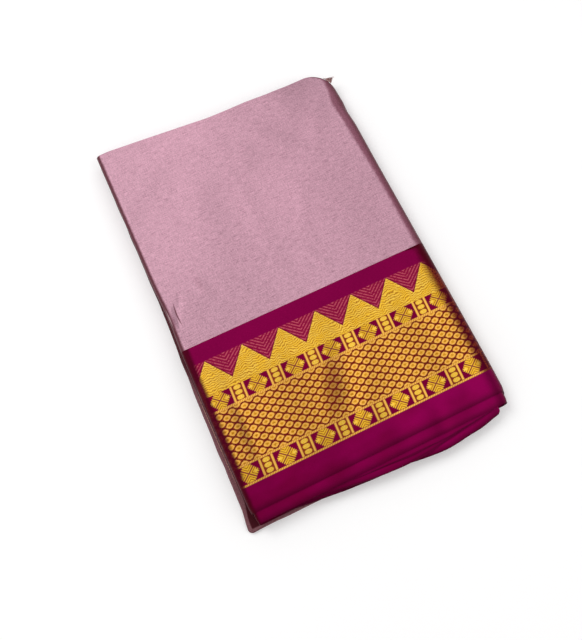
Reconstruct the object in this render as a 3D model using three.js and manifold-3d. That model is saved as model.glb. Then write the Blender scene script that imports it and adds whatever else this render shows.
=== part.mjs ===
// A silk saree folded flat for the shelf: a lilac field with a broad magenta border.
// +X runs along the border to the folded spine, +Y from the near selvedge to the far fold, +Z up.
// Millimetres, with the origin under the middle of the pack.
import * as THREE from 'three';
import Module from 'manifold-3d';

const wasm = await Module();
wasm.setup();

// The cloth is woven 1200 wide and folded in three, which sets the pack's length.
const PACK = { halfLength: 206.8, height: 22, baseHeight: 6, baseGap: 0.4 };
const WALL = 1.4;
const GAP = 0.7;

// The seam line where the field's weave meets the border's.
const SEAM = { y: -20.2, gap: 0.3 };

// The outer layers turn round the left edge in a tight fold and round the spine in a full one.
const TURN = { bottom: PACK.baseHeight + PACK.baseGap, top: PACK.height, leftRadius: 5 };
const TURN_STEPS = { underside: 4, leftFold: 3, top: 18, spine: 8 };

// Each turned layer: its place in the turn, where its two ends meet underneath, and where its
// selvedge lies on top and below.
const OUTER_TURN = { inset: 0, slit: 18, topEdge: -183.2, underEdge: -190, farSet: 0 };
const SECOND_TURN = { inset: WALL + GAP, slit: -30, topEdge: -193.8, underEdge: -196, farSet: 2.2 };
const SLIT = 2;
const EDGE_LEVEL = 19;

// Rows of points across a wall, closer together towards an open edge.
const ROWS = { field: 15, border: 12, second: 10, crowding: 1.5 };

// Where the turned layers lie from left to right, seen from above, at places along the pack.
const TURN_SIDES = [
  { y: -210, left: -127.2, right: 135.3 },
  { y: -120, left: -127.0, right: 135.3 },
  { y: -20, left: -126.0, right: 135.2 },
  { y: 90, left: -125.0, right: 135.0 },
  { y: 140, left: -124.7, right: 135.3 },
  { y: 158, left: -124.6, right: 134.3 },
  { y: 176, left: -124.5, right: 135.6 },
  { y: 210, left: -124.2, right: 135.8 },
];

// The pinch at the left edge, just above the border.
const PINCH = { y: 14, length: 26, depth: 1.6 };

// The far fold runs askew and a little uneven, and its right corner is worn round.
const FAR_EDGE = [
  { x: -125, y: 206.4 },
  { x: -110, y: 206.8 },
  { x: -70, y: 203.9 },
  { x: -28, y: 200.4 },
  { x: -5, y: 198.4 },
  { x: 18, y: 198.3 },
  { x: 40, y: 198.7 },
  { x: 64, y: 197.6 },
  { x: 88, y: 198.4 },
  { x: 110, y: 200.6 },
  { x: 136, y: 198.6 },
];
const FAR_CORNER = { fromX: 112, across: 24, along: 28 };

// The left side of the lowest folds, which stand out past the turned layers beside the border.
const BASE_SIDES = [
  { y: -210, left: -136.0 },
  { y: -190, left: -135.8 },
  { y: -174, left: -133.6 },
  { y: -83, left: -131.7 },
  { y: -20, left: -129.5 },
  { y: 20, left: -127.0 },
  { y: 210, left: -124.9 },
];

// The folds between the turned layers, from the lowest: how far each lies inside the left side,
// its right and near edges, how far its near edge bows out, and how far it stops short of the far fold.
const INNER_FOLDS = [
  { leftIn: 4.6, right: 120.5, near: -191.2, bow: 11.4, bowAt: -8, farIn: 4.2 },
  { leftIn: 4.2, right: 123.2, near: -191.0, bow: 16.6, bowAt: 62, farIn: 2.8 },
  { leftIn: 5.2, right: 123.0, near: -190.6, bow: 13.8, bowAt: 22, farIn: 3.6 },
  { leftIn: 4.8, right: 121.0, near: -191.6, bow: 7.5, bowAt: 40, farIn: 3.0 },
];
const BASE_FOLDS = [
  { leftIn: 2.4, right: 122.0, near: -196.4, bow: 0.5, bowAt: 0, farIn: 3.0 },
  { leftIn: 0.0, right: 124.0, near: -198.2, bow: 0.0, bowAt: 0, farIn: 1.6 },
  { leftIn: 1.4, right: 123.0, near: -197.0, bow: 0.5, bowAt: 30, farIn: 2.6 },
];
const INNER_INSET = 2 * (WALL + GAP) + 0.4;
const FOLD = { corner: 4.5, bowSpread: 78, crevice: 1.1, edgeFrom: 0.28, edgeTo: 0.72 };
const FOLD_STEPS = { corner: 4, side: 13, end: 12 };
const FOLD_FACE_INSETS = [64, 42, 26, 14, 6];

// Where the pack is pressed lower than its full height, as a share of the height.
const DROOPS = {
  near: { share: 0.15, fromY: -148, toY: -206 },
  far: { share: 0.06, fromY: 165, toY: 208 },
  corner: { share: 0.3, x: 138, y: 202, reach: 78 },
};

// Long soft waves in the top layers: each is a ridge that lies along a line.
const WAVES = [
  { x: -86, y: -112, angle: 82, width: 17, length: 88, rise: 0.75 },
  { x: -30, y: -120, angle: 97, width: 20, length: 80, rise: 0.6 },
  { x: 42, y: -104, angle: 75, width: 22, length: 95, rise: 0.8 },
  { x: 96, y: -118, angle: 96, width: 15, length: 75, rise: 0.55 },
  { x: -70, y: 70, angle: 64, width: 34, length: 120, rise: 0.7 },
  { x: 48, y: 96, angle: 112, width: 38, length: 110, rise: 0.8 },
  { x: 20, y: 150, angle: 20, width: 22, length: 90, rise: 0.5 },
];
const WAVE_LEVEL = { from: 15, to: 19 };

// Loose warp ends that stand out of the worn corner, and the narrow strip that they are rooted in.
const FRAY = { x: 132, strands: 11, spread: 6.4, length: 7.4, thickness: 0.55, root: 0.4 };
const FRAY_ANGLES = { fan: 44, lean: 20, lift: 22, unevenLift: 16 };
const FRAY_STRIP = { length: 7.6, depth: 1.1, height: 1.3, gap: 0.35 };

const LILAC = 0xcb9aae;
const MAUVE = 0x9a6b80;
const MAGENTA = 0x80034a;

const { lerp, smoothstep, clamp, degToRad } = THREE.MathUtils;

function clothMesh(name, geometry, colour) {
  const material = new THREE.MeshStandardMaterial({ color: colour, roughness: 0.55, metalness: 0 });
  const mesh = new THREE.Mesh(geometry, material);
  mesh.name = name;
  return mesh;
}

// Reads a column of a table whose rows are sorted by key, with straight lines between the rows.
function readTable(table, key, place, column) {
  const above = table.findIndex((row) => row[key] > place);
  const next = above < 0 ? table.length - 1 : Math.max(above, 1);
  const a = table[next - 1];
  const b = table[next];
  return lerp(a[column], b[column], clamp((place - a[key]) / (b[key] - a[key]), 0, 1));
}

function turnLeft(y) {
  const pinch = Math.exp(-(((y - PINCH.y) / PINCH.length) ** 2)) * PINCH.depth;
  return readTable(TURN_SIDES, 'y', y, 'left') + pinch;
}

function turnRight(y) {
  return readTable(TURN_SIDES, 'y', y, 'right');
}

function baseLeft(y) {
  return readTable(BASE_SIDES, 'y', y, 'left');
}

function farEdge(x) {
  const past = clamp((x - FAR_CORNER.fromX) / FAR_CORNER.across, 0, 1);
  const worn = FAR_CORNER.along * (1 - Math.sqrt(1 - past * past));
  return readTable(FAR_EDGE, 'x', x, 'y') - worn;
}

function ridge(wave, x, y) {
  const turn = degToRad(wave.angle);
  const along = (x - wave.x) * Math.cos(turn) + (y - wave.y) * Math.sin(turn);
  const across = (y - wave.y) * Math.cos(turn) - (x - wave.x) * Math.sin(turn);
  return wave.rise * Math.exp(-((across / wave.width) ** 2) - (along / wave.length) ** 2);
}

// The height of a point that would be at z in an even pack: pressed lower at its ends, waved on top.
function settle(x, y, z) {
  const { near, far, corner } = DROOPS;
  const nearShare = near.share * smoothstep(-y, -near.fromY, -near.toY);
  const farShare = far.share * smoothstep(y, far.fromY, far.toY);
  const away = Math.hypot(x - corner.x, y - corner.y) / corner.reach;
  const cornerShare = corner.share * (1 - smoothstep(away, 0, 1));
  const raised = smoothstep(z, WAVE_LEVEL.from, WAVE_LEVEL.to);
  const waves = WAVES.reduce((sum, wave) => sum + ridge(wave, x, y), 0);
  return z * (1 - nearShare - farShare - cornerShare) + raised * waves;
}

// A closed surface through rings with the same even number of points. Each end is closed by faces
// that join a ring's first half to its second, point by point.
function closedSurface(rings) {
  const count = rings[0].length;
  const index = [];
  for (let r = 0; r < rings.length - 1; r += 1) {
    for (let i = 0; i < count; i += 1) {
      const a = r * count + i;
      const b = r * count + ((i + 1) % count);
      index.push(a, b, b + count, a, b + count, a + count);
    }
  }
  const last = (rings.length - 1) * count;
  for (let i = 0; i < count / 2 - 1; i += 1) {
    const across = count - 1 - i;
    index.push(i, across - 1, i + 1, i, across, across - 1);
    index.push(last + i, last + i + 1, last + across - 1, last + i, last + across - 1, last + across);
  }
  const geometry = new THREE.BufferGeometry();
  geometry.setAttribute('position', new THREE.Float32BufferAttribute(rings.flat(2), 3));
  geometry.setIndex(index);
  geometry.computeVertexNormals();
  return geometry;
}

// One turn of cloth round the pack's section at y, set in by inset: from the middle of the underside,
// up round the left edge, over the top, down round the spine and back.
function turnSection(y, inset, slit) {
  const left = turnLeft(y) + inset;
  const right = turnRight(y) - inset;
  const bottom = TURN.bottom + inset;
  const top = TURN.top - inset;
  const small = TURN.leftRadius - inset;
  const large = (top - bottom) / 2;
  const points = [];
  const stretch = (fromX, toX, z, steps) => {
    for (let i = 0; i < steps; i += 1) points.push({ x: lerp(fromX, toX, i / steps), z });
  };
  const arc = (centreX, centreZ, radius, from, to, steps) => {
    for (let i = 0; i < steps; i += 1) {
      const angle = degToRad(lerp(from, to, i / steps));
      points.push({ x: centreX + radius * Math.cos(angle), z: centreZ + radius * Math.sin(angle) });
    }
  };
  stretch(slit - SLIT / 2, left + small, bottom, TURN_STEPS.underside);
  arc(left + small, bottom + small, small, 270, 180, TURN_STEPS.leftFold);
  arc(left + small, top - small, small, 180, 90, TURN_STEPS.leftFold);
  stretch(left + small, right - large, top, TURN_STEPS.top);
  arc(right - large, bottom + large, large, 90, -90, TURN_STEPS.spine);
  stretch(right - large, slit + SLIT / 2, bottom, TURN_STEPS.underside);
  points.push({ x: slit + SLIT / 2, z: bottom });
  return points;
}

// A wall of cloth turned round the pack, from its near line to its far line. Each ring runs out along
// the wall's outer side and back along its inner side.
function turnedWall(name, colour, turn, nearLine, farLine, shares) {
  const rings = shares.map((share) => {
    const side = (inset) => {
      const middle = lerp(nearLine(0, PACK.height), farLine(0), share);
      return turnSection(middle, inset, turn.slit).map(({ x, z }) => {
        const y = lerp(nearLine(x, z), farLine(x), share);
        return [x, y, settle(x, y, z)];
      });
    };
    return [...side(turn.inset), ...side(turn.inset + WALL).reverse()];
  });
  return clothMesh(name, closedSurface(rings), colour);
}

// The near edge of a turned layer lies further out under the pack than on top.
function selvedge(turn) {
  return (x, z) => lerp(turn.underEdge, turn.topEdge, smoothstep(z, TURN.bottom, EDGE_LEVEL));
}

function seamLine(side) {
  return () => SEAM.y + (side * SEAM.gap) / 2;
}

function farFold(turn) {
  return (x) => farEdge(x) - turn.farSet;
}

// Shares of the way from a wall's near line to its far one.
function rowsToFar(rows) {
  return [...Array(rows + 1).keys()].map((i) => 1 - (1 - i / rows) ** ROWS.crowding);
}

function rowsFromNear(rows) {
  return [...Array(rows + 1).keys()].map((i) => (i / rows) ** ROWS.crowding);
}

function rowsToBoth(rows) {
  const near = rowsFromNear(rows).map((share) => share / 2);
  const far = rowsToFar(rows).map((share) => 0.5 + share / 2);
  return [...near, ...far.slice(1)];
}

// The outline of one fold in a stack, set in by inset, as a ring of points at a height.
function foldOutline(fold, leftSide, inset, height) {
  const near = fold.near + inset;
  const far = PACK.halfLength;
  const nearLeft = leftSide(-PACK.halfLength) + fold.leftIn;
  const left = nearLeft + inset;
  const right = fold.right - inset;
  const points = [];
  const put = (x, y) => {
    const bow = fold.bow * Math.exp(-(((x - fold.bowAt) / FOLD.bowSpread) ** 2));
    const placed = lerp(near - bow, farEdge(x) - fold.farIn - inset, (y - near) / (far - near));
    const swing = leftSide(placed) + fold.leftIn - nearLeft;
    const fromRight = (fold.right - x) / (fold.right - nearLeft);
    const movedX = x + swing * fromRight;
    points.push([movedX, placed, settle(movedX, placed, height)]);
  };
  const corner = (centreX, centreY, from) => {
    for (let i = 0; i < FOLD_STEPS.corner; i += 1) {
      const angle = degToRad(from + (90 * i) / FOLD_STEPS.corner);
      put(centreX + FOLD.corner * Math.cos(angle), centreY + FOLD.corner * Math.sin(angle));
    }
  };
  const side = (fromX, fromY, toX, toY, steps) => {
    for (let i = 0; i < steps; i += 1) put(lerp(fromX, toX, i / steps), lerp(fromY, toY, i / steps));
  };
  const inLeft = left + FOLD.corner;
  const inRight = right - FOLD.corner;
  const inNear = near + FOLD.corner;
  const inFar = far - FOLD.corner;
  corner(inRight, inNear, -90);
  side(right, inNear, right, inFar, FOLD_STEPS.side);
  corner(inRight, inFar, 0);
  side(inRight, far, inLeft, far, FOLD_STEPS.end);
  corner(inLeft, inFar, 90);
  side(left, inFar, left, inNear, FOLD_STEPS.side);
  corner(inLeft, inNear, 180);
  side(inLeft, near, inRight, near, FOLD_STEPS.end);
  return points;
}

// Folds lying on each other as one solid, with a crevice between each fold's edge and the next.
function stackedFolds(name, colour, folds, leftSide, bottom, top) {
  const thick = (top - bottom) / folds.length;
  const last = folds[folds.length - 1];
  const rings = FOLD_FACE_INSETS.map((inset) => foldOutline(folds[0], leftSide, inset, bottom));
  folds.forEach((fold, i) => {
    const level = bottom + i * thick;
    rings.push(foldOutline(fold, leftSide, FOLD.crevice, level));
    rings.push(foldOutline(fold, leftSide, 0, level + FOLD.edgeFrom * thick));
    rings.push(foldOutline(fold, leftSide, 0, level + FOLD.edgeTo * thick));
  });
  rings.push(foldOutline(last, leftSide, FOLD.crevice, top));
  for (const inset of [...FOLD_FACE_INSETS].reverse()) {
    rings.push(foldOutline(last, leftSide, inset, top));
  }
  return clothMesh(name, closedSurface(rings), colour);
}

// A closed mesh as a solid, with the corners that share a place joined.
function solidOf(geometry) {
  const { position } = geometry.attributes;
  const placeNumbers = new Map();
  const vertices = [];
  const triangles = [...geometry.index.array].map((corner) => {
    const point = [position.getX(corner), position.getY(corner), position.getZ(corner)];
    const place = point.map((value) => Math.round(value * 1e4)).join();
    if (!placeNumbers.has(place)) {
      placeNumbers.set(place, vertices.length / 3);
      vertices.push(...point);
    }
    return placeNumbers.get(place);
  });
  return new wasm.Manifold(new wasm.Mesh({
    numProp: 3,
    vertProperties: new Float32Array(vertices),
    triVerts: new Uint32Array(triangles),
  }));
}

function geometryOf(solid) {
  const mesh = solid.getMesh();
  const geometry = new THREE.BufferGeometry();
  geometry.setAttribute('position', new THREE.BufferAttribute(new Float32Array(mesh.vertProperties), 3));
  geometry.setIndex([...mesh.triVerts]);
  geometry.computeVertexNormals();
  return geometry;
}

// A tapering three-sided thread from a root in the strip to a free tip, with +Y as the way out.
function frayStrand(number) {
  const share = number / (FRAY.strands - 1) - 0.5;
  const length = FRAY.length * (0.72 + 0.28 * Math.cos(number * 2.3));
  const lift = FRAY_ANGLES.lift + FRAY_ANGLES.unevenLift * Math.sin(number * 1.7);
  const strand = new THREE.ConeGeometry(FRAY.thickness, length, 3);
  strand.translate(0, length / 2 - FRAY.root, 0);
  strand.rotateZ(degToRad(FRAY_ANGLES.lean - FRAY_ANGLES.fan * share));
  strand.rotateX(degToRad(lift));
  strand.translate(share * FRAY.spread, 0, 0);
  return strand;
}

// The strip lies along the far edge where the corner is worn, just clear of the turned layer.
function cornerFray() {
  const { length, depth, height, gap } = FRAY_STRIP;
  let solid = solidOf(new THREE.BoxGeometry(length, depth, height));
  for (let i = 0; i < FRAY.strands; i += 1) solid = solid.add(solidOf(frayStrand(i)));
  const mesh = clothMesh('corner_fray', geometryOf(solid), MAUVE);
  const slope = (farEdge(FRAY.x + 1) - farEdge(FRAY.x - 1)) / 2;
  const away = new THREE.Vector2(-slope, 1).normalize().multiplyScalar(gap + depth / 2);
  const x = FRAY.x + away.x;
  const y = farEdge(FRAY.x) + away.y;
  mesh.rotation.z = Math.atan(slope);
  mesh.position.set(x, y, settle(x, y, TURN.top - WALL / 2));
  return mesh;
}

function fieldWrap() {
  const rows = rowsToFar(ROWS.field);
  return turnedWall('field_wrap', LILAC, OUTER_TURN, seamLine(1), farFold(OUTER_TURN), rows);
}

function borderWrap() {
  const rows = rowsFromNear(ROWS.border);
  return turnedWall('border_wrap', MAGENTA, OUTER_TURN, selvedge(OUTER_TURN), seamLine(-1), rows);
}

function secondWrap() {
  const rows = rowsToBoth(ROWS.second);
  return turnedWall('second_wrap', MAGENTA, SECOND_TURN, selvedge(SECOND_TURN), farFold(SECOND_TURN), rows);
}

function innerFolds() {
  const bottom = TURN.bottom + INNER_INSET;
  const top = TURN.top - INNER_INSET;
  return stackedFolds('inner_folds', MAGENTA, INNER_FOLDS, turnLeft, bottom, top);
}

function baseFolds() {
  return stackedFolds('base_folds', MAUVE, BASE_FOLDS, baseLeft, 0, PACK.baseHeight);
}

const saree = new THREE.Group();
saree.add(fieldWrap(), borderWrap(), secondWrap(), innerFolds(), baseFolds(), cornerFray());

export default saree;
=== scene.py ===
"""A silk saree folded flat for the shelf: a lilac field with a broad magenta and gold border.

The mesh code works in the CAD source's millimetres and repeats its sizes. +X runs along the border
to the folded spine, +Y from the near selvedge to the far fold, +Z up. Every cloth mesh carries a UV
map in metres of cloth, which the woven patterns are drawn in.
"""

import math

import bpy
import numpy as np
from mathutils import Matrix, Vector

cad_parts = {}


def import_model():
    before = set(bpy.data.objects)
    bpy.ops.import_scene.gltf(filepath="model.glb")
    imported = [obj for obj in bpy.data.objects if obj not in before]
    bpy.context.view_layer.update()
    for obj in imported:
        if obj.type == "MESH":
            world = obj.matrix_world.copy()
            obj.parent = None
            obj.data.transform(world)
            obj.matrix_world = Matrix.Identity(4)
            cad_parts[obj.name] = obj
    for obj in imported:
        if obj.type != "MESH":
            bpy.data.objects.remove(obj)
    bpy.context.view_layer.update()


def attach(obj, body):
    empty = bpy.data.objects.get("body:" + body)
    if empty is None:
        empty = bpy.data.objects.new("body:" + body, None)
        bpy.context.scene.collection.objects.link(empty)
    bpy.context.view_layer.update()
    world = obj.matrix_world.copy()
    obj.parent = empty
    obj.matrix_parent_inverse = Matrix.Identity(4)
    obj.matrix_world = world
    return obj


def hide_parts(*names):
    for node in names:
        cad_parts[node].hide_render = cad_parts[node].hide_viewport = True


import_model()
MM = 0.001

# The photograph's camera: its place and what it looks at, its roll in degrees, and its lens on a
# sensor that lies along the picture's long side.
CAMERA = {
    "place": (-88.75, -189.31, 650.65),
    "look": (-17.78, -36.43, 22.0),
    "roll": -0.51,
    "lens": 38.25,
    "sensor": 36.0,
}

# Sizes repeated from the CAD source. Each turn is one wall, parted in a slit under the pack.
HALF_LENGTH = 206.8
PACK_TOP = 22.0
BASE_TOP = 6.0
WALL = 1.4
SEAM_Y = -20.2
TURN_BOTTOM = 6.4
LEFT_RADIUS = 5.0
SLIT = 0.3
EDGE_LEVEL = 19.0
SEAM_HALF = 0.02
OUTER = {"inset": 0.0, "slit": 18.0, "top_edge": -183.2, "under_edge": -190.0, "far_set": 0.0}
SECOND = {"inset": 2.1, "slit": -30.0, "top_edge": -193.8, "under_edge": -196.0, "far_set": 2.2}

# y, left, right.
TURN_SIDES = np.array([
    (-210, -127.2, 135.3),
    (-120, -127.0, 135.3),
    (-20, -126.0, 135.2),
    (90, -125.0, 135.0),
    (140, -124.7, 135.3),
    (158, -124.6, 134.3),
    (176, -124.5, 135.6),
    (210, -124.2, 135.8),
])
PINCH = {"y": 14.0, "length": 26.0, "depth": 1.6}
# x, y.
FAR_EDGE = np.array([
    (-125, 206.4),
    (-110, 206.8),
    (-70, 203.9),
    (-28, 200.4),
    (-5, 198.4),
    (18, 198.3),
    (40, 198.7),
    (64, 197.6),
    (88, 198.4),
    (110, 200.6),
    (136, 198.6),
])
FAR_CORNER = {"from_x": 112.0, "across": 24.0, "along": 28.0}
# y, left.
BASE_SIDES = np.array([
    (-210, -136.0),
    (-190, -135.8),
    (-174, -133.6),
    (-83, -131.7),
    (-20, -129.5),
    (20, -127.0),
    (210, -124.9),
])
# Left in, right, near, bow, where it bows, far in.
INNER_FOLDS = np.array([
    (4.6, 120.5, -191.2, 11.4, -8, 4.2),
    (4.2, 123.2, -191.0, 16.6, 62, 2.8),
    (5.2, 123.0, -190.6, 13.8, 22, 3.6),
    (4.8, 121.0, -191.6, 7.5, 40, 3.0),
])
BASE_FOLDS = np.array([
    (2.4, 122.0, -196.4, 0.5, 0, 3.0),
    (0.0, 124.0, -198.2, 0.0, 0, 1.6),
    (1.4, 123.0, -197.0, 0.5, 30, 2.6),
])
INNER_BOTTOM = 11.0
INNER_TOP = 17.4
FOLD_CORNER = 4.5
BOW_SPREAD = 78.0
NEAR_DROOP = {"share": 0.15, "from": 148.0, "to": 206.0}
FAR_DROOP = {"share": 0.06, "from": 165.0, "to": 208.0}
CORNER_DROOP = {"share": 0.3, "x": 138.0, "y": 202.0, "reach": 78.0}
# x, y, angle, half width, half length, rise.
WAVES = (
    (-86, -112, 82, 17, 88, 0.75),
    (-30, -120, 97, 20, 80, 0.6),
    (42, -104, 75, 22, 95, 0.8),
    (96, -118, 96, 15, 75, 0.55),
    (-70, 70, 64, 34, 120, 0.7),
    (48, 96, 112, 38, 110, 0.8),
    (20, 150, 20, 22, 90, 0.5),
)
# Waves and creases fade in between these heights.
WAVE_LEVEL = (15.0, 19.0)

# Finer creases and swells of the top layers, in the same columns.
CREASES = (
    # The small pleat at the left edge, and the dimple by it.
    (-115.0, 14, 80, 1.6, 8, -1.0),
    (-119.6, 12, 86, 2.0, 8, 0.8),
    (-109.0, 24, 62, 2.4, 11, -0.4),
    (-82, 31, 100, 5, 13, 0.22),
    # The border: a swell with a shaded left flank, and the fold near the left side.
    (5, -110, 67, 13, 38, 2.5),
    (-98, -108, 88, 6, 36, 0.8),
    (-60, -181, 7, 4, 44, -0.35),
    (20, -184, 176, 4, 50, -0.35),
    (66, -190, 84, 8, 20, 0.8),
    (28, -176, 96, 10, 30, 0.4),
    # The field's soft swells.
    (-6, 112, 91, 9, 96, 0.3),
    (44, 150, 138, 8, 36, 0.4),
    (10, 138, 80, 9, 26, 0.3),
    (43, 66, 70, 9, 34, 0.2),
    (32, 12, 130, 6, 18, 0.3),
    (100, 150, 60, 9, 46, 0.25),
    (-96, 150, 38, 12, 60, 0.25),
    (-52, 96, 84, 14, 70, 0.2),
)


def blend(a, b, share):
    return a + (b - a) * share


def smoothstep(x, low, high):
    t = np.clip((x - low) / (high - low), 0.0, 1.0)
    return t * t * (3.0 - 2.0 * t)


def read_table(table, place, column):
    return np.interp(place, table[:, 0], table[:, column])


def turn_left(y):
    pinch = np.exp(-(((y - PINCH["y"]) / PINCH["length"]) ** 2)) * PINCH["depth"]
    return read_table(TURN_SIDES, y, 1) + pinch


def turn_right(y):
    return read_table(TURN_SIDES, y, 2)


def base_left(y):
    return read_table(BASE_SIDES, y, 1)


def far_edge(x):
    past = np.clip((x - FAR_CORNER["from_x"]) / FAR_CORNER["across"], 0.0, 1.0)
    return read_table(FAR_EDGE, x, 1) - FAR_CORNER["along"] * (1.0 - np.sqrt(1.0 - past * past))


def ridges(rows, x, y):
    """The summed rise of long soft bumps, each turned by its angle."""
    total = np.zeros(np.broadcast(x, y).shape)
    for at_x, at_y, angle, width, length, rise in rows:
        turn = math.radians(angle)
        along = (x - at_x) * math.cos(turn) + (y - at_y) * math.sin(turn)
        across = (y - at_y) * math.cos(turn) - (x - at_x) * math.sin(turn)
        total += rise * np.exp(-((across / width) ** 2) - (along / length) ** 2)
    return total


def settle(x, y, z):
    """The height of a point that would be at z in an even pack."""
    near = NEAR_DROOP["share"] * smoothstep(-y, NEAR_DROOP["from"], NEAR_DROOP["to"])
    far = FAR_DROOP["share"] * smoothstep(y, FAR_DROOP["from"], FAR_DROOP["to"])
    away = np.hypot(x - CORNER_DROOP["x"], y - CORNER_DROOP["y"]) / CORNER_DROOP["reach"]
    corner = CORNER_DROOP["share"] * (1.0 - smoothstep(away, 0.0, 1.0))
    raised = smoothstep(z, *WAVE_LEVEL)
    return z * (1.0 - near - far - corner) + raised * (ridges(WAVES, x, y) + ridges(CREASES, x, y))


# Share, length and turn from leaf to leaf of the sines that a leaf's edge strays by.
STRAYS = ((0.5, 31.0, 1.0), (0.3, 13.7, 1.7), (0.2, 6.1, 2.9))
LEAF_TURN = 2.399
# The leaves' tones, from 0 to 1, go round by these angles.
WALL_TONES, STACK_TONES = 2.1, 2.4


def uneven(leaf, along, size):
    """How far a leaf's edge strays from its line."""
    phase = leaf * LEAF_TURN
    waves = (share * np.sin(along / length + turn * phase) for share, length, turn in STRAYS)
    return size * sum(waves)


def add_object(name, data):
    thing = bpy.data.objects.new(name, data)
    bpy.context.scene.collection.objects.link(thing)
    return thing


# The edge mark is painted shade along a layer's near edge.
MARKS = ("tone", "left_in", "right_in", "edge")
# The mark of a point that lies on no turn.
FAR_OUT = -90.0
SHARP_ANGLE = 75


class Solid:
    """Collects one closed mesh: places in millimetres, cloth coordinates and marks per point."""

    def __init__(self):
        self.points, self.cloth, self.marks, self.faces = [], [], [], []
        self.count = 0

    def add_points(self, places, cloth, tone, left_in=FAR_OUT, right_in=FAR_OUT, edge=0.0):
        """Adds points and returns the first one's number.

        left_in and right_in: how far round the left and right turns. edge: painted shade, high at a
        near edge.
        """
        first = self.count
        self.points.append(np.asarray(places, float).reshape(-1, 3))
        self.cloth.append(np.asarray(cloth, float).reshape(-1, 2))
        count = len(self.points[-1])
        marks = (tone, left_in, right_in, edge)
        columns = [np.broadcast_to(np.ravel(mark), count) for mark in marks]
        self.marks.append(np.stack(columns, -1))
        self.count += count
        return first

    def piece(self, name, materials, kind_of=None):
        """The mesh as an object on the root. kind_of gives each face's material by its place."""
        mesh = bpy.data.meshes.new(name)
        places = np.concatenate(self.points)
        mesh.from_pydata((places * MM).tolist(), [], self.faces)
        cloth = np.concatenate(self.cloth) * MM
        corners = np.empty(len(mesh.loops), dtype=np.int32)
        mesh.loops.foreach_get("vertex_index", corners)
        layer = mesh.uv_layers.new(name="Cloth")
        layer.data.foreach_set("uv", cloth[corners].ravel().astype(np.float32))
        marks = np.concatenate(self.marks).astype(np.float32)
        for column, mark in enumerate(MARKS):
            values = mesh.attributes.new(mark, "FLOAT", "POINT").data
            values.foreach_set("value", marks[:, column].copy())
        for material in materials:
            mesh.materials.append(material)
        if kind_of is not None:
            first = np.array([face[0] for face in self.faces])
            kinds = kind_of(places[first]).astype(np.int32)
            mesh.polygons.foreach_set("material_index", kinds)
        mesh.polygons.foreach_set("use_smooth", np.ones(len(mesh.polygons), dtype=bool))
        mesh.validate()
        mesh.set_sharp_from_angle(angle=math.radians(SHARP_ANGLE))
        piece = add_object(name, mesh)
        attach(piece, "root")
        return piece


# The parts of a turned layer's section, from the slit round the left side to the slit again.
UNDER_LEFT, LOW_ARC, SIDE, HIGH_ARC, TOP, SPINE, UNDER_RIGHT = range(7)


def stations(under, arc, side, top, spine):
    """Places round a section: each one's part, and its share of the way along that part.

    top is a list of (share of the top, steps to there), so that edges get more steps.
    """
    rows = []
    for part, steps in ((UNDER_LEFT, under), (LOW_ARC, arc), (SIDE, side), (HIGH_ARC, arc)):
        rows += [(part, i / steps) for i in range(steps)]
    start = 0.0
    for end, steps in top:
        rows += [(TOP, blend(start, end, i / steps)) for i in range(steps)]
        start = end
    rows += [(SPINE, i / spine) for i in range(spine)]
    rows += [(UNDER_RIGHT, i / under) for i in range(under + 1)]
    return np.array([part for part, _ in rows]), np.array([share for _, share in rows])


def turn_section(y, inset, slit, part, share):
    """The section of a turned layer: x, z, the cloth's length round it, left_in and right_in."""
    left, right = turn_left(y) + inset, turn_right(y) - inset
    bottom, top = TURN_BOTTOM + inset, PACK_TOP - inset
    small, large = LEFT_RADIUS - inset, (PACK_TOP - TURN_BOTTOM) / 2 - inset
    in_left, in_right = left + small, right - large
    rise = (top - bottom) - 2 * small
    outer_rise = PACK_TOP - TURN_BOTTOM - 2 * LEFT_RADIUS
    outer_large = (PACK_TOP - TURN_BOTTOM) / 2
    quarter = math.pi / 2
    angle = share * quarter
    is_part = [part == one for one in (UNDER_LEFT, LOW_ARC, SIDE, HIGH_ARC, TOP, SPINE)]
    x = np.select(
        is_part,
        [
            blend(slit - SLIT / 2, in_left, share),
            in_left - small * np.sin(angle),
            left + 0 * share,
            in_left - small * np.cos(angle),
            blend(in_left, in_right, share),
            in_right + large * np.sin(2 * angle),
        ],
        blend(in_right, slit + SLIT / 2, share),
    )
    z = np.select(
        is_part,
        [
            bottom + 0 * x,
            bottom + small - small * np.cos(angle),
            bottom + small + rise * share,
            top - small + small * np.sin(angle),
            top + 0 * x,
            bottom + large + large * np.cos(2 * angle),
        ],
        bottom + 0 * x,
    )
    down_left = in_left - quarter * LEFT_RADIUS
    along = np.select(
        is_part,
        [
            down_left - outer_rise - quarter * LEFT_RADIUS - (x - in_left),
            down_left - outer_rise - (quarter - angle) * LEFT_RADIUS,
            down_left - outer_rise * (1 - share),
            in_left - (quarter - angle) * LEFT_RADIUS,
            x,
            in_right + outer_large * 2 * angle,
        ],
        in_right + outer_large * math.pi + (in_right - x),
    )
    return x, z, along, in_left - along, along - in_right


LIP_SHARES = (0.1, 0.28, 0.5, 0.72, 0.9)


def lips(leaves, wall, depth):
    """The end of a wall as its leaves' edges: (share through the wall, distance back, leaf).

    depth is how deep the crevices between the leaves go.
    """
    rows = []
    radius = wall / leaves / 2
    for leaf in range(leaves):
        if leaf:
            rows.append((leaf / leaves, depth, leaf))
        for a in LIP_SHARES:
            back = radius * (1 - math.sqrt(1 - (2 * a - 1) ** 2))
            rows.append(((leaf + a) / leaves, back, leaf))
    return rows


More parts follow.
